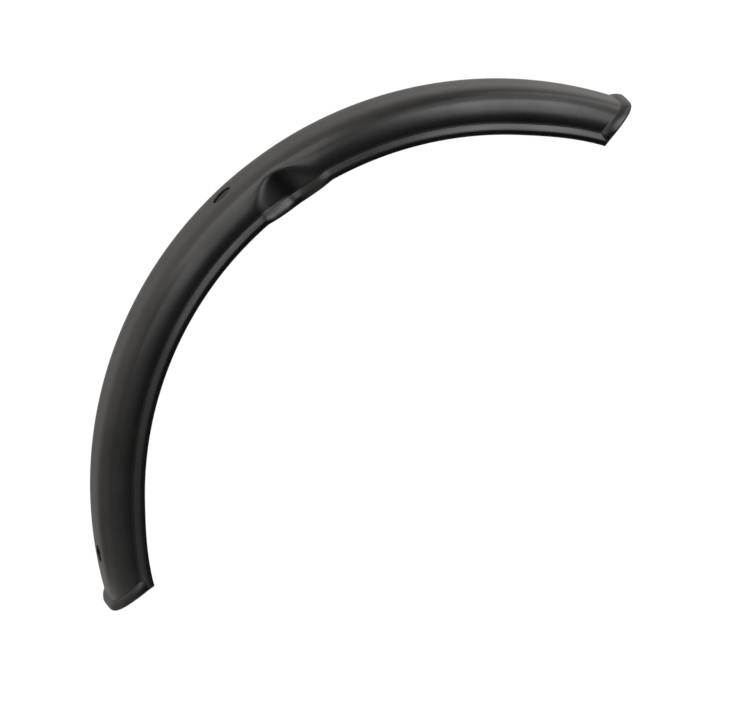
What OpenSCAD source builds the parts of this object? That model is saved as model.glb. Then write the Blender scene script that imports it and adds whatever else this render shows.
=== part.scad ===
// Mudguard for a 16 inch scooter wheel: one moulded shell with an edge bead along both lips,
// a raised rim at both ends, a pinched waist, a crown hole and a stay slot.
// The wheel axle runs along Y and travel is towards +X. The middle of the crown hole is the origin.

/* [Shell] */
// Radius of the outside of the crown, from the wheel axle
crown_r = 215; // [170:1:300]
// Half of the arc, from its middle to the tip of a lip, in degrees
arc_half = 60.7; // [45:0.1:75]
// Direction of the middle of the arc, in degrees back from straight up
arc_lean = 43.4; // [0:0.1:90]
// Width of the shell above its edge beads
body_w = 59; // [50:0.5:75]
// Depth from the crown to the lips at the middle of the arc
depth = 21.7; // [19:0.1:28]
// How much deeper the side walls are at the ends of the arc
depth_gain = 2.1; // [0:0.1:3]
// How far the lips draw up again over the last stretch of the arc
lip_rise = 1.6; // [0:0.1:3]
// Squareness of the section, 2 for an ellipse and more for a flatter crown
squareness = 4.5; // [3:0.1:6.5]
// Thickness of the moulded wall
wall = 1.6; // [1:0.1:2.5]

/* [Edge bead] */
// Height of the bead along each lip
bead_h = 5.9; // [4.5:0.1:8]
// Height of its nose above the lip, where its slope ends and its upright face starts
nose_h = 2.7; // [1.5:0.1:3.5]
// How far the nose stands out of the side wall
bead_out = 2.2; // [1:0.1:3]

/* [End rims] */
// Length of the raised rim, along the arc
rim_l = 7; // [5:0.1:12]
// How far the rim's edge stands up from the shell
rim_out = 2.2; // [1:0.1:3.5]
// How far the crown runs past the tips of the lips
end_slant = 11.1; // [4:0.1:18]

/* [Waist] */
// Place of the waist's top, in degrees ahead of the middle of the arc
waist_at = 8.3; // [2:0.1:20]
// How far ahead of its top the waist reaches the lip, in degrees
waist_lean = 1; // [0:0.1:3]
// Length of the waist along the lip
waist_l = 42; // [30:1:70]
// How far the waist is pressed into each side wall
waist_in = 8.5; // [3:0.1:10]
// How far the pressed wall carries the lip down
waist_drop = 3.6; // [0:0.1:6]

/* [Fixing holes] */
// Diameter of the crown hole
crown_hole_d = 12; // [5:0.1:14]
// Place of the crown hole, in degrees ahead of the middle of the arc
crown_hole_at = 0.9; // [-1:0.1:2]
// Length of the stay slot, across the shell
stay_slot_l = 13; // [10:0.5:20]
// Width of the stay slot, along the arc
stay_slot_w = 9; // [4:0.1:9.5]
// Distance of the stay slot from the rear tips of the lips, along the crown
stay_slot_in = 18; // [16:0.5:40]

/* [Hidden] */
$fn = 64;

// Share of the half width where the crown ends and the side wall starts
shoulder = 0.8;
// Spans of the loft: half of the crown, one side wall and one bead
crown_spans = 6;
wall_spans = 4;
bead_spans = 6;
// Power of the rim's flare, 1 for a straight slope and more for a hollow one
rim_bend = 1.8;
// Stretch at each end over which the lips rise and the slanted cut is reached, in degrees
end_run = 14;
// Rounding of the bead's nose
nose_round = 0.5;
// Roundness of the waist's valley, as a share of its half length
waist_round = 0.3;
// Power of the lip's bow at the waist, 1 for a circular one and more for softer ends
bow_power = 1.25;
// Fillet round the waist, and how far outside the shell its flanks start
waist_fillet = 2;
waist_margin = 2;
// Share of the outside relief that the inside of the wall follows
inside_share = 0.75;
// Spans along the arc: one rim, the waist, and the longest step elsewhere in degrees
rim_spans = 7;
waist_spans = 14;
plain_step = 2.3;
// How far the cutters of the holes reach past the wall
cut_past = 4;

half_w = body_w / 2;
rim_deg = to_deg(rim_l, crown_r);
waist_half = to_deg(waist_l / 2, crown_r - depth);
slant_deg = to_deg(end_slant, crown_r);

// Angle that a length covers on an arc of radius r
function to_deg(len, r) = len / r * 180 / PI;

// Share from 0 to 1, eased at both ends
function eased(x) = let (c = min(max(x, 0), 1)) c * c * (3 - 2 * c);

// Positive part of z with a fillet of length k
function filleted(z, k) = (z + sqrt(z * z + k * k)) / 2;

// Evenly spaced values from a up to b, without b
function spread(a, b, n) = [for (i = [0 : n - 1]) a + (b - a) * i / n];

// Place across the waist, 0 at its middle and 1 at its ends. Low is 0 at the crown and 1 at the lip.
function waist_x(t, low) = min(abs(t + waist_at + waist_lean * low) / waist_half, 1);

// Press of the waist: a valley with a rounded bottom, 1 at its middle and 0 at its ends
function waist(t, low) =
    (norm([1, waist_round]) - norm([waist_x(t, low), waist_round])) / (norm([1, waist_round]) - waist_round);

// Inward move of a wall point that lies y from the middle plane
function pressed(y, t, low) =
    let (
        start = half_w + waist_margin,
        floor_y = start - (waist_in + waist_margin) * waist(t, low)
    )
    filleted(y - floor_y, waist_fillet) - filleted(y - start, waist_fillet);

// How far the waist carries the wall down: nothing at the crown, all of the drop at the lip
function dropped(t, low) = waist_drop * pow(1 - pow(waist_x(t, 1), 2), bow_power) * eased(low);

// Depth of the lips at angle t, before the waist is pressed
function depth_at(t) =
    depth + depth_gain * (1 - cos(t)) / (1 - cos(arc_half))
    - lip_rise * eased((abs(t) - arc_half + end_run) / end_run);

// Bead: a slope from the wall out to the nose and an upright face below it, at height h above the lip
function bead_rise(h) =
    max(bead_out - filleted(bead_out * (h - nose_h) / (bead_h - nose_h), nose_round), 0);

// Rim: a flare that grows from a crease to the end of the shell
function rim_rise(t) = rim_out * pow(max(1 - (arc_half - abs(t)) / rim_deg, 0), rim_bend);

// Half section at angle t, from the crown to the lip, as [y, height above the lip]
function half_section(t) =
    let (
        d = depth_at(t),
        shoulder_h = d * sqrt(1 - pow(shoulder, squareness))
    )
    concat(
        [for (i = [0 : crown_spans - 1])
            let (y = shoulder * sin(90 * i / crown_spans))
            [half_w * y, d * sqrt(1 - pow(y, squareness))]],
        [for (i = [0 : wall_spans - 1])
            let (h = bead_h + (shoulder_h - bead_h) * cos(90 * i / wall_spans))
            [half_w * pow(1 - pow(h / d, 2), 1 / squareness), h]],
        [for (i = [0 : bead_spans])
            let (h = bead_h * (1 - i / bead_spans))
            [half_w * pow(1 - pow(h / d, 2), 1 / squareness), h]]
    );

// Direction out of the plain section at [y, h], as [across, up]
function outward(p, d) =
    let (
        across = squareness / half_w * pow(p[0] / half_w, squareness - 1),
        up = 2 * p[1] / (d * d),
        len = norm([across, up])
    )
    [across / len, up / len];

// Point on the shell: lift is the distance from the outside face, negative for inwards
function shell_point(t, p, side, share, lift) =
    let (
        d = depth_at(t),
        n = outward(p, d),
        low = 1 - p[1] / d,
        rise = share * max(bead_rise(p[1]), rim_rise(t)) + lift,
        y = p[0] - pressed(p[0], t, low) + n[0] * rise,
        r = crown_r - d + p[1] - dropped(t, low) + n[1] * rise,
        reach = slant_deg * p[1] / d * eased((abs(t) - arc_half + end_run) / end_run),
        a = arc_lean + t + sign(t) * reach
    )
    [-r * sin(a), side * y, r * cos(a)];

// Whole section at angle t, from the near lip over the crown to the far lip
function skin_row(t, share, lift) =
    let (
        half = half_section(t),
        n = len(half) - 1
    )
    concat(
        [for (i = [n : -1 : 1]) shell_point(t, half[i], -1, share, lift)],
        [for (i = [0 : n]) shell_point(t, half[i], 1, share, lift)]
    );

// Angles of the sections, closer together at the rims and the waist
waist_a = -waist_at - waist_lean - waist_half;
waist_b = -waist_at + waist_half;
rim_a = -arc_half + rim_deg;
rim_b = arc_half - rim_deg;
stations = concat(
    spread(-arc_half, rim_a, rim_spans),
    spread(rim_a, waist_a, ceil((waist_a - rim_a) / plain_step)),
    spread(waist_a, waist_b, waist_spans),
    spread(waist_b, rim_b, ceil((rim_b - waist_b) / plain_step)),
    spread(rim_b, arc_half, rim_spans),
    [arc_half]
);

// Closed surface through the outside rows and the inside rows
module loft(outside, inside) {
    rows = len(outside);
    cols = len(outside[0]);
    inner = rows * cols;
    skin = [for (i = [0 : rows - 2], j = [0 : cols - 2])
        let (a = i * cols + j, b = a + 1, c = a + cols, e = c + 1)
        each [[a, b, e], [a, e, c], [inner + a, inner + e, inner + b], [inner + a, inner + c, inner + e]]];
    lips = [for (i = [0 : rows - 2])
        let (a = i * cols, c = a + cols, b = a + cols - 1, e = b + cols)
        each [[a, c, inner + c], [a, inner + c, inner + a], [b, inner + e, e], [b, inner + b, inner + e]]];
    ends = [for (j = [0 : cols - 2])
        let (a = j, b = j + 1, c = (rows - 1) * cols + j, e = c + 1)
        each [[a, inner + b, b], [a, inner + a, inner + b], [c, e, inner + e], [c, inner + e, inner + c]]];
    polyhedron(points = concat([for (row = outside) each row], [for (row = inside) each row]),
        faces = concat(skin, lips, ends), convexity = 10);
}

// Moves its children from the axle to the crown at angle t, with Z outwards
module at_crown(t) {
    rotate([0, -(arc_lean + t), 0]) translate([0, 0, crown_r]) children();
}

module crown_hole() {
    at_crown(-crown_hole_at) translate([0, 0, -wall - cut_past])
        cylinder(d = crown_hole_d, h = wall + 2 * cut_past);
}

module stay_slot() {
    straight = stay_slot_l - stay_slot_w;
    at_crown(arc_half - to_deg(stay_slot_in, crown_r)) translate([0, 0, -wall - cut_past]) {
        for (side = [-1, 1]) translate([0, side * straight / 2, 0])
            cylinder(d = stay_slot_w, h = wall + 2 * cut_past);
        translate([-stay_slot_w / 2, -straight / 2, 0])
            cube([stay_slot_w, straight, wall + 2 * cut_past]);
    }
}

module mudguard() {
    origin_r = crown_r;
    origin_a = arc_lean - crown_hole_at;
    color([0.07, 0.07, 0.07])
    translate([origin_r * sin(origin_a), 0, -origin_r * cos(origin_a)])
    difference() {
        loft([for (t = stations) skin_row(t, 1, 0)],
            [for (t = stations) skin_row(t, inside_share, -wall)]);
        crown_hole();
        stay_slot();
    }
}

mudguard();
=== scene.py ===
"""Looks of the mudguard: its moulded shell with rounded edges, satin black plastic and a plain studio."""
import math

import bpy
import numpy as np
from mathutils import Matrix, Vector


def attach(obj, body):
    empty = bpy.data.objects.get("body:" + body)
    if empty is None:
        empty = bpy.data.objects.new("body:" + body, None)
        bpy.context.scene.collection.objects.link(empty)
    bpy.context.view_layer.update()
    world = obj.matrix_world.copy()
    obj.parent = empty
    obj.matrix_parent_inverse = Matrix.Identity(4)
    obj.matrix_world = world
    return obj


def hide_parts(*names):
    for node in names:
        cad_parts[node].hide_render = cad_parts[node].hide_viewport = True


MM = 0.001

# Shell, in millimetres and degrees, with the values of the part's source
CROWN_R = 215.0
ARC_HALF = 60.7
ARC_LEAN = 43.4
BODY_W = 59.0
DEPTH = 21.7
DEPTH_GAIN = 2.1
LIP_RISE = 1.6
SQUARENESS = 4.5
SHOULDER = 0.8
WALL = 1.6
BEAD_H = 5.9
NOSE_H = 2.7
BEAD_OUT = 2.2
NOSE_ROUND = 0.5
RIM_OUT = 2.2
END_SLANT = 11.1
END_RUN = 14.0
WAIST_AT = 8.3
WAIST_LEAN = 1.0
WAIST_L = 42.0
WAIST_IN = 8.5
WAIST_DROP = 3.6
WAIST_ROUND = 0.3
BOW_POWER = 1.25
WAIST_FILLET = 2.0
WAIST_MARGIN = 2.0
INSIDE_SHARE = 0.75
CROWN_HOLE_D = 12.0
CROWN_HOLE_AT = 0.9
STAY_SLOT_L = 13.0
STAY_SLOT_W = 9.0
STAY_SLOT_IN = 18.0

# Profile of the end rims, fuller than in the part's source: their length at the lips and at the crown, the
# power of the first quick rise, its share of the whole rise, and the share of it that is left at the lips
RIM_L = 8.0
RIM_L_TOP = 5.0
RIM_BEND = 2.5
RIM_PLATEAU = 0.85
RIM_LOW = 0.8

# Roundings that a mould leaves on the free edges and round the holes
EDGE_ROUND = 0.6
HOLE_ROUND = 0.35

# Sections along the arc: how many over one rim and the margin behind it, and the longest step elsewhere
RIM_STATIONS = 32
RIM_MARGIN = 1.0
PLAIN_STEP = 0.42
# Columns of points over half of the crown, one side wall and one bead
CROWN_COLUMNS = 22
WALL_COLUMNS = 14
BEAD_COLUMNS = 16
# Distance from the crease above the bead to the columns that keep it crisp
CREASE = 0.12
# Least height of the second column above the lip, in roundings of the edge
LIP_CLEARANCE = 1.3
# Spans of a quarter turn round an edge
ROUND_STEPS = 4
# Margin round a hole, its rings of points, and the power that draws them towards the hole
HOLE_MARGIN = 1.6
PATCH_RINGS = 5
PATCH_POWER = 0.7
# Rounds of the search for the section that passes a true angle
SLANT_ROUNDS = 25

# Plastic: base colours, the spans of its roughness and its specular level, and its index of refraction
DARK_BASE = (0.0035, 0.0035, 0.0035, 1)
PALE_BASE = (0.005, 0.005, 0.005, 1)
ROUGHNESS = (0.26, 0.31)
SPECULAR = (0.43, 0.57)
REFRACTION = 1.49
# Noises of the plastic by scale and detail, and the span of a noise that is made use of
CLOUDS = (22, 3)
SHEEN = (35, 4)
GRAIN = (2600, 2)
RIPPLE = (60, 1)
NOISE_SPAN = (0.3, 0.7)
# Bumps of the plastic, by strength and by height in metres
GRAIN_BUMP = (0.12, 0.00006)
RIPPLE_BUMP = (0.25, 0.0002)

# Camera: direction, picture size in pixels, scale, place of the wheel axle in the picture, distance in
# metres, sensor width in millimetres, and the nearest and furthest that it sees
CAMERA_AZIMUTH = -9.94
CAMERA_ELEVATION = 11.27
PICTURE_W = 749
PICTURE_H = 725
PIXELS_PER_MM = 1.862
AXLE_PX = (488.16, 475.61)
CAMERA_DISTANCE = 10.74
SENSOR_W = 36.0
CAMERA_CLIP = (0.1, 200)

# Floor: radius in metres, sides, shade and roughness. It lies where the tyre would touch the ground.
FLOOR_RADIUS = 0.42
FLOOR_SIDES = 96
FLOOR_BASE = (0.85, 0.85, 0.85, 1)
FLOOR_ROUGHNESS = 0.9
TYRE_R = 200.0

# Lamps, in metres, by azimuth and elevation in degrees, power in watts and colour. Azimuth 0 is at the
# camera's side and 90 towards +X. All face the middle of the guard.
GUARD_MIDDLE = Vector((0.03, 0.0, -0.05))
SOFTBOX_SIZE = 1.5
SOFTBOX_DISTANCE = 2.2
WHITE_LIGHT = (1.0, 1.0, 1.0)
WARM_LIGHT = (1.0, 0.955, 0.915)
SOFTBOXES = {
    "front_right": (30, 52, 21.9, WHITE_LIGHT),
    "right_back": (120, 52, 7.3, WHITE_LIGHT),
    "front_left": (-45, 32, 11.5, WHITE_LIGHT),
    "front_right_high": (45, 72, 8.2, WHITE_LIGHT),
    "left": (-90, 52, 10.4, WARM_LIGHT),
    "front_left_low": (-45, -8, 1.8, WHITE_LIGHT),
}
# Glows of the world, by azimuth, elevation and spread in degrees, and radiance
GLOWS = [
    (-90, 52, 28.6, 0.36),
    (157, -8, 28.6, 0.52),
    (-68, 12, 28.6, 0.17),
    (-113, 32, 28.6, 0.88),
    (135, 32, 18.6, 0.48),
    (-90, -30, 18.6, 0.48),
]

HALF_W = BODY_W / 2
ORIGIN_ANGLE = math.radians(ARC_LEAN - CROWN_HOLE_AT)
AXLE = np.array([math.sin(ORIGIN_ANGLE), 0.0, -math.cos(ORIGIN_ANGLE)]) * CROWN_R


def arc_degrees(length, radius=CROWN_R):
    """Angle that a length covers on an arc."""
    return np.degrees(length / radius)


def eased(x):
    """Share from 0 to 1, eased at both ends."""
    x = np.clip(x, 0, 1)
    return x * x * (3 - 2 * x)


def filleted(z, k):
    """Positive part of z with a fillet of length k."""
    return (z + np.sqrt(z * z + k * k)) / 2


def waist_x(t, low):
    """Place across the waist: 0 at its middle, 1 at its ends. Low is 0 at the crown and 1 at the lip."""
    half = arc_degrees(WAIST_L / 2, CROWN_R - DEPTH)
    return np.minimum(np.abs(t + WAIST_AT + WAIST_LEAN * low) / half, 1)


def waist(t, low):
    """Press of the waist: a valley with a rounded bottom, 1 at its middle and 0 at its ends."""
    top = math.hypot(1, WAIST_ROUND)
    return (top - np.hypot(waist_x(t, low), WAIST_ROUND)) / (top - WAIST_ROUND)


def pressed(y, t, low):
    """Inward move of a wall point that lies y from the middle plane."""
    start = HALF_W + WAIST_MARGIN
    floor_y = start - (WAIST_IN + WAIST_MARGIN) * waist(t, low)
    return filleted(y - floor_y, WAIST_FILLET) - filleted(y - start, WAIST_FILLET)


def dropped(t, low):
    """How far the waist carries the wall down: nothing at the crown, all of the drop at the lip."""
    return WAIST_DROP * (1 - waist_x(t, 1) ** 2) ** BOW_POWER * eased(low)


def end_share(t):
    """0 on the plain arc, rising to 1 at both ends."""
    return eased((np.abs(t) - ARC_HALF + END_RUN) / END_RUN)


def end_reach(t, up_share):
    """Push of the slanted ends along the arc, in degrees. Up_share is 0 at the lip and 1 at the crown."""
    return np.sign(t) * arc_degrees(END_SLANT) * up_share * end_share(t)


def unslanted(angle, y):
    """Arc angle of the section that passes a true angle at place y on the crown."""
    up_share = np.sqrt(1 - (np.abs(y) / HALF_W) ** SQUARENESS)
    t = angle
    for _ in range(SLANT_ROUNDS):
        t = angle - end_reach(t, up_share)
    return t


def depth_at(t):
    """Depth from the crown to the lips at arc angle t."""
    swing = (1 - np.cos(np.radians(t))) / (1 - math.cos(math.radians(ARC_HALF)))
    return DEPTH + DEPTH_GAIN * swing - LIP_RISE * end_share(t)


def bead_rise(h):
    """Slope from the wall out to the nose and an upright face below it, at height h above the lip."""
    slope = BEAD_OUT * (h - NOSE_H) / (BEAD_H - NOSE_H)
    return np.maximum(BEAD_OUT - filleted(slope, NOSE_ROUND), 0)


def rim_rise(t, h):
    """Rise from a crease that levels off towards the end. It is longer and a little lower at the lips."""
    length = RIM_L + (RIM_L_TOP - RIM_L) * h / depth_at(t)
    run = np.clip(1 - (ARC_HALF - np.abs(t)) / arc_degrees(length), 0, 1)
    rise = RIM_PLATEAU * (1 - (1 - run) ** RIM_BEND) + (1 - RIM_PLATEAU) * run
    return RIM_OUT * rise * (RIM_LOW + (1 - RIM_LOW) * eased((h - NOSE_H) / BEAD_H))


def crown_height(y, t):
    """Height above the lips of the section at place y across."""
    return depth_at(t) * np.sqrt(1 - (np.abs(y) / HALF_W) ** SQUARENESS)


def wall_place(h, t):
    """Distance of the section from the middle plane at height h above the lips."""
    return HALF_W * (1 - (h / depth_at(t)) ** 2) ** (1 / SQUARENESS)


def shell(t, y, h, sunk):
    """Points at arc angle t, signed place y across and height h above the lip, sunk into the wall."""
    out, d = np.abs(y), depth_at(t)
    across = SQUARENESS / HALF_W * (out / HALF_W) ** (SQUARENESS - 1)
    up = 2 * h / d**2
    length = np.hypot(across, up)
    low = 1 - h / d
    share = 1 - (1 - INSIDE_SHARE) * sunk / WALL
    rise = share * np.maximum(bead_rise(h), rim_rise(t, h)) - sunk
    place = out - pressed(out, t, low) + across / length * rise
    radius = CROWN_R - d + h - dropped(t, low) + up / length * rise
    angle = np.radians(ARC_LEAN + t + end_reach(t, h / d))
    points = np.stack([-radius * np.sin(angle), np.sign(y) * place, radius * np.cos(angle)], -1)
    return (points + AXLE) * MM


def stations(edge):
    """Arc angles of the sections, with the two end ones held back by edge."""
    rim = arc_degrees(RIM_L + RIM_MARGIN)
    last = ARC_HALF - arc_degrees(EDGE_ROUND)
    plain = np.linspace(-ARC_HALF + rim, ARC_HALF - rim, round(2 * (ARC_HALF - rim) / PLAIN_STEP))
    flare = np.linspace(ARC_HALF - rim, last, RIM_STATIONS)[1:]
    t = np.concatenate([-flare[::-1], plain, flare])
    t[0] = -ARC_HALF + arc_degrees(edge)
    t[-1] = ARC_HALF - arc_degrees(edge)
    return t[:, None]


def full_section(t, edge):
    """Signed places across and heights, from the near lip over the crown to the far lip."""
    repeated = 0 * t
    crown_y = SHOULDER * HALF_W * np.linspace(0, 1, CROWN_COLUMNS, endpoint=False) + repeated
    wall_top = depth_at(t) * math.sqrt(1 - SHOULDER**SQUARENESS)
    step = np.cos(np.pi / 2 * np.linspace(0, 1, WALL_COLUMNS, endpoint=False))
    wall_h = BEAD_H + CREASE + (wall_top - BEAD_H - CREASE) * step
    bead_h = BEAD_H / 2 * (1 + np.cos(np.linspace(0, np.pi, BEAD_COLUMNS)))
    bead_h[-1] = edge
    bead_h[-2] = max(bead_h[-2], LIP_CLEARANCE * EDGE_ROUND)
    bead_h = np.concatenate([[BEAD_H, BEAD_H - CREASE], bead_h[1:]]) + repeated
    low_h = np.concatenate([wall_h, bead_h], 1)
    y = np.concatenate([crown_y, wall_place(low_h, t)], 1)
    h = np.concatenate([crown_height(crown_y, t), low_h], 1)
    return np.concatenate([-y[:, :0:-1], y], 1), np.concatenate([h[:, :0:-1], h], 1)


def skin(edge, sunk):
    """Grid of points over the whole shell, inset by edge from its rim."""
    t = stations(edge)
    y, h = full_section(t, edge)
    return shell(t + 0 * y, y, h, sunk)


def rounding(radius):
    """Pairs of inset and depth that lead from the outer face round an edge to the inner face."""
    turn = np.linspace(0, np.pi / 2, ROUND_STEPS + 1)
    inset = radius * (1 - np.sin(turn))
    depth = radius * (1 - np.cos(turn))
    return list(zip(inset, depth)) + list(zip(inset[::-1], WALL - depth[::-1]))


def rectangle(rows, cols):
    """Row and column of each grid point round a block, in order."""
    top = [(rows[0], c) for c in range(cols[0], cols[1])]
    right = [(r, cols[1]) for r in range(rows[0], rows[1])]
    bottom = [(rows[1], c) for c in range(cols[1], cols[0], -1)]
    left = [(r, cols[0]) for r in range(rows[1], rows[0], -1)]
    return np.array(top + right + bottom + left)


def slot_outline(direction, length, width, margin):
    """Point in a direction on a slot with round ends that runs across the shell, widened by margin."""
    radius = width / 2 + margin
    straight = (length - width) / 2
    flat = radius / np.maximum(np.abs(direction[:, 0]), 1e-9)
    along = np.abs(direction[:, 1])
    cap = along * straight + np.sqrt(np.maximum(radius**2 - (direction[:, 0] * straight) ** 2, 0))
    reach = np.where(flat * along <= straight, flat, cap)
    return direction * reach[:, None]


class MeshParts:
    """Points and quads gathered from grids and loops."""

    def __init__(self):
        self.points = []
        self.quads = []
        self.count = 0

    def add(self, points):
        """Takes in points and returns their indices."""
        index = np.arange(self.count, self.count + len(points))
        self.points.append(points)
        self.count += len(points)
        return index

    def grid(self, index, holes, flip):
        """Quads over a grid of indices, without the blocks under the holes."""
        keep = np.ones((index.shape[0] - 1, index.shape[1] - 1), bool)
        for rows, cols in holes:
            keep[rows[0] : rows[1], cols[0] : cols[1]] = False
        quads = np.stack([index[:-1, :-1], index[:-1, 1:], index[1:, 1:], index[1:, :-1]], -1)[keep]
        self.quads.append(quads[:, ::-1] if flip else quads)

    def strips(self, loops):
        """Quads between each closed loop and the next, all of equal length."""
        for loop, following in zip(loops, loops[1:]):
            after, after_following = np.roll(loop, -1), np.roll(following, -1)
            self.quads.append(np.stack([following, after_following, after, loop], -1))

    def object(self, name):
        """Object with all that was gathered, shaded smooth."""
        mesh = bpy.data.meshes.new(name)
        mesh.from_pydata(np.concatenate(self.points).tolist(), [], np.concatenate(self.quads).tolist())
        mesh.validate()
        mesh.shade_smooth()
        made = bpy.data.objects.new(name, mesh)
        bpy.context.scene.collection.objects.link(made)
        return made


def hole_block(t, y, at, length, width):
    """Rows and columns of the grid block that a hole and its margin need."""
    reach_t = arc_degrees(width / 2 + HOLE_MARGIN)
    reach_y = length / 2 + HOLE_MARGIN
    ends = unslanted(np.array([at - reach_t, at + reach_t]), 0)
    rows = (np.searchsorted(t, ends[0]) - 1, np.searchsorted(t, ends[1]))
    cols = (np.searchsorted(y, -reach_y) - 1, np.searchsorted(y, reach_y))
    return rows, cols


def cut_hole(parts, outer, inner, block, t, y, at, length, width):
    """Fills a grid block with rings that lead to a hole, and lines the hole."""
    loop = rectangle(*block)
    place_t, place_y = t[loop[:, 0]], y[loop[:, 1]]
    true_angle = place_t + end_reach(place_t, crown_height(place_y, place_t) / depth_at(place_t))
    flat = np.stack([np.radians(true_angle - at) * CROWN_R, place_y], -1)
    direction = flat / np.linalg.norm(flat, axis=1)[:, None]

    def outline(margin):
        return slot_outline(direction, length, width, margin)

    def ring(plan, sunk):
        ring_t = unslanted(at + np.degrees(plan[:, 0] / CROWN_R), plan[:, 1])
        return parts.add(shell(ring_t, plan[:, 1], crown_height(plan[:, 1], ring_t), sunk))

    mouth = outline(HOLE_ROUND)
    shares = (np.arange(1, PATCH_RINGS) / PATCH_RINGS) ** PATCH_POWER
    between = [flat + (mouth - flat) * share for share in shares]
    rings = [outer[loop[:, 0], loop[:, 1]]]
    rings += [ring(plan, 0) for plan in between]
    rings += [ring(outline(inset), sunk) for inset, sunk in rounding(HOLE_ROUND)]
    rings += [ring(plan, WALL) for plan in between[::-1]]
    rings += [inner[loop[:, 0], loop[:, 1]]]
    parts.strips(rings)


def moulded_shell():
    """The mudguard as one closed mesh, with rounded edges and holes."""
    parts = MeshParts()
    t = stations(EDGE_ROUND)[:, 0]
    y = full_section(np.zeros((1, 1)), EDGE_ROUND)[0][0]
    outer_points = skin(EDGE_ROUND, 0)
    shape = outer_points.shape[:2]
    outer = parts.add(outer_points.reshape(-1, 3)).reshape(shape)
    inner = parts.add(skin(EDGE_ROUND, WALL).reshape(-1, 3)).reshape(shape)
    holes = [
        (-CROWN_HOLE_AT, CROWN_HOLE_D, CROWN_HOLE_D),
        (ARC_HALF - arc_degrees(STAY_SLOT_IN), STAY_SLOT_L, STAY_SLOT_W),
    ]
    blocks = [hole_block(t, y, *hole) for hole in holes]
    parts.grid(outer, blocks, True)
    parts.grid(inner, blocks, False)
    for block, hole in zip(blocks, holes):
        cut_hole(parts, outer, inner, block, t, y, *hole)
    rim = rectangle((0, shape[0] - 1), (0, shape[1] - 1))
    rings = [outer[rim[:, 0], rim[:, 1]]]
    for inset, sunk in rounding(EDGE_ROUND)[1:-1]:
        rings.append(parts.add(skin(inset, sunk)[rim[:, 0], rim[:, 1]]))
    rings.append(inner[rim[:, 0], rim[:, 1]])
    parts.strips(rings)
    return parts.object("moulded_shell")


def satin_black_plastic():
    """Moulded polypropylene: near black, fine grain, and a sheen that varies a little."""
    material = bpy.data.materials.new("satin_black_plastic")
    material.use_nodes = True
    nodes, links = material.node_tree.nodes, material.node_tree.links
    surface = nodes["Principled BSDF"]
    surface.inputs["IOR"].default_value = REFRACTION
    coords = nodes.new("ShaderNodeTexCoord")

    def noise(scale, detail):
        node = nodes.new("ShaderNodeTexNoise")
        node.inputs["Scale"].default_value = scale
        node.inputs["Detail"].default_value = detail
        links.new(coords.outputs["Object"], node.inputs["Vector"])
        return node

    def ranged(source, low, high):
        node = nodes.new("ShaderNodeMapRange")
        node.inputs["From Min"].default_value = NOISE_SPAN[0]
        node.inputs["From Max"].default_value = NOISE_SPAN[1]
        node.inputs["To Min"].default_value = low
        node.inputs["To Max"].default_value = high
        links.new(source.outputs["Fac"], node.inputs["Value"])
        return node.outputs["Result"]

    def bump(source, strength, height):
        node = nodes.new("ShaderNodeBump")
        node.inputs["Strength"].default_value = strength
        node.inputs["Distance"].default_value = height
        links.new(source.outputs["Fac"], node.inputs["Height"])
        return node

    clouds = noise(*CLOUDS)
    tint = nodes.new("ShaderNodeMix")
    tint.data_type = "RGBA"
    tint.inputs["A"].default_value = DARK_BASE
    tint.inputs["B"].default_value = PALE_BASE
    links.new(clouds.outputs["Fac"], tint.inputs["Factor"])
    links.new(tint.outputs["Result"], surface.inputs["Base Color"])
    links.new(ranged(clouds, *ROUGHNESS), surface.inputs["Roughness"])
    links.new(ranged(noise(*SHEEN), *SPECULAR), surface.inputs["Specular IOR Level"])
    grain_bump = bump(noise(*GRAIN), *GRAIN_BUMP)
    ripple_bump = bump(noise(*RIPPLE), *RIPPLE_BUMP)
    links.new(ripple_bump.outputs["Normal"], grain_bump.inputs["Normal"])
    links.new(grain_bump.outputs["Normal"], surface.inputs["Normal"])
    return material


def aim(thing, place, target):
    """Puts a lamp or camera at a place and turns it to a target."""
    thing.location = place
    thing.rotation_mode = "QUATERNION"
    thing.rotation_quaternion = (Vector(target) - Vector(place)).to_track_quat("-Z", "Y")


def direction(azimuth, elevation):
    """Unit vector, with azimuth 0 towards the camera's side and 90 towards +X."""
    azimuth, elevation = math.radians(azimuth), math.radians(elevation)
    level = math.cos(elevation)
    return Vector((math.sin(azimuth) * level, -math.cos(azimuth) * level, math.sin(elevation)))


def softbox(name, azimuth, elevation, power, color):
    """Square lamp that faces the guard from a direction."""
    light = bpy.data.lights.new(name, "AREA")
    light.shape = "SQUARE"
    light.size = SOFTBOX_SIZE
    light.energy = power
    light.color = color
    lamp = bpy.data.objects.new(name, light)
    bpy.context.scene.collection.objects.link(lamp)
    aim(lamp, GUARD_MIDDLE + direction(azimuth, elevation) * SOFTBOX_DISTANCE, GUARD_MIDDLE)


def make_camera():
    """Looks at the point of the axle's plane that lies in the middle of the picture."""
    azimuth = math.radians(CAMERA_AZIMUTH)
    right = Vector((math.cos(azimuth), math.sin(azimuth), 0))
    back = direction(CAMERA_AZIMUTH, CAMERA_ELEVATION)
    up = back.cross(right)
    off_x = ((PICTURE_W - 1) / 2 - AXLE_PX[0]) / PIXELS_PER_MM * MM
    off_y = (AXLE_PX[1] - (PICTURE_H - 1) / 2) / PIXELS_PER_MM * MM
    target = Vector(AXLE * MM) + right * off_x + up * off_y
    data = bpy.data.cameras.new("camera")
    data.sensor_width = SENSOR_W
    data.lens = CAMERA_DISTANCE / MM * PIXELS_PER_MM * SENSOR_W / PICTURE_W
    data.clip_start, data.clip_end = CAMERA_CLIP
    camera = bpy.data.objects.new("camera", data)
    bpy.context.scene.collection.objects.link(camera)
    aim(camera, target + back * CAMERA_DISTANCE, target)
    bpy.context.scene.camera = camera


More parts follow.
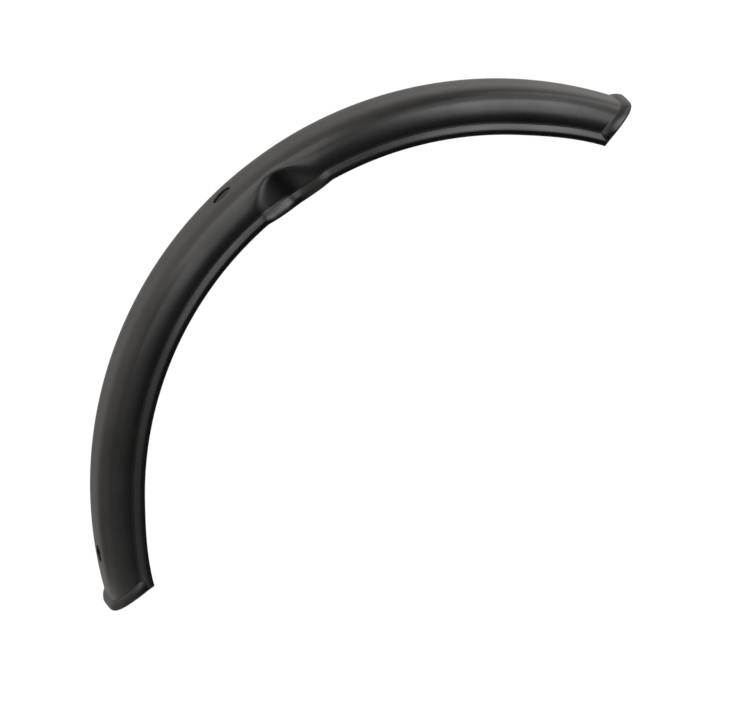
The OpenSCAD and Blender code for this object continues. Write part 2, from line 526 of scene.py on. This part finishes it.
def seen_directly(tree):
    """1 for a ray from the camera or through a clear surface."""
    path = tree.nodes.new("ShaderNodeLightPath")
    most = tree.nodes.new("ShaderNodeMath")
    most.operation = "MAXIMUM"
    tree.links.new(path.outputs["Is Camera Ray"], most.inputs[0])
    tree.links.new(path.outputs["Is Transmission Ray"], most.inputs[1])
    return most.outputs[0]


def make_floor(height):
    """Pale round floor at the height of the ground under the wheel."""
    angles = np.linspace(0, 2 * np.pi, FLOOR_SIDES, endpoint=False)
    rim = np.stack([np.cos(angles), np.sin(angles), 0 * angles], -1) * FLOOR_RADIUS
    mesh = bpy.data.meshes.new("floor")
    mesh.from_pydata(rim.tolist(), [], [list(range(FLOOR_SIDES))])
    floor = bpy.data.objects.new("floor", mesh)
    floor.location = (GUARD_MIDDLE.x, 0, height)
    bpy.context.scene.collection.objects.link(floor)
    material = bpy.data.materials.new("pale_floor")
    material.use_nodes = True
    tree = material.node_tree
    surface = tree.nodes["Principled BSDF"]
    surface.inputs["Base Color"].default_value = FLOOR_BASE
    surface.inputs["Roughness"].default_value = FLOOR_ROUGHNESS
    surface.inputs["Emission Color"].default_value = (1, 1, 1, 1)
    tree.links.new(seen_directly(tree), surface.inputs["Emission Strength"])
    floor.data.materials.append(material)


def make_world():
    """Broad glows of soft light on a dark studio, and white where the background is seen."""
    world = bpy.data.worlds.new("studio")
    bpy.context.scene.world = world
    world.use_nodes = True
    tree = world.node_tree
    nodes, links = tree.nodes, tree.links
    coords = nodes.new("ShaderNodeTexCoord")

    def calculated(operation, first, second=None):
        node = nodes.new("ShaderNodeMath")
        node.operation = operation
        links.new(first, node.inputs[0])
        if isinstance(second, float):
            node.inputs[1].default_value = second
        elif second is not None:
            links.new(second, node.inputs[1])
        return node.outputs[0]

    total = None
    for azimuth, elevation, spread, radiance in GLOWS:
        toward = nodes.new("ShaderNodeVectorMath")
        toward.operation = "DOT_PRODUCT"
        toward.inputs[1].default_value = direction(azimuth, elevation)
        links.new(coords.outputs["Generated"], toward.inputs[0])
        away = calculated("SUBTRACT", toward.outputs["Value"], 1.0)
        fall = calculated("MULTIPLY", away, 1 / math.radians(spread) ** 2)
        glow = calculated("MULTIPLY", calculated("EXPONENT", fall), radiance)
        total = glow if total is None else calculated("ADD", total, glow)
    plain = nodes["Background"]
    plain.inputs["Color"].default_value = (*WARM_LIGHT, 1)
    links.new(total, plain.inputs["Strength"])
    white = nodes.new("ShaderNodeBackground")
    white.inputs["Color"].default_value = (1, 1, 1, 1)
    mix = nodes.new("ShaderNodeMixShader")
    links.new(seen_directly(tree), mix.inputs["Fac"])
    links.new(plain.outputs["Background"], mix.inputs[1])
    links.new(white.outputs["Background"], mix.inputs[2])
    links.new(mix.outputs["Shader"], nodes["World Output"].inputs["Surface"])


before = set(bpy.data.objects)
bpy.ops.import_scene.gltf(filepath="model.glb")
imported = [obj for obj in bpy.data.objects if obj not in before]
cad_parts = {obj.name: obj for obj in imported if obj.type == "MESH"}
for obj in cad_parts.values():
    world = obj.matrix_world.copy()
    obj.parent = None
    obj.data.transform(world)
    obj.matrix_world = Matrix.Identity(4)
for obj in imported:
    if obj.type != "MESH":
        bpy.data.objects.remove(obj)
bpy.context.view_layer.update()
bpy.context.scene.view_settings.view_transform = "Standard"

guard = moulded_shell()
guard.data.materials.append(satin_black_plastic())
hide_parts("mudguard")
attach(guard, "root")

make_floor((AXLE[2] - TYRE_R) * MM)
make_world()
for name, lamp in SOFTBOXES.items():
    softbox(name, *lamp)
make_camera()
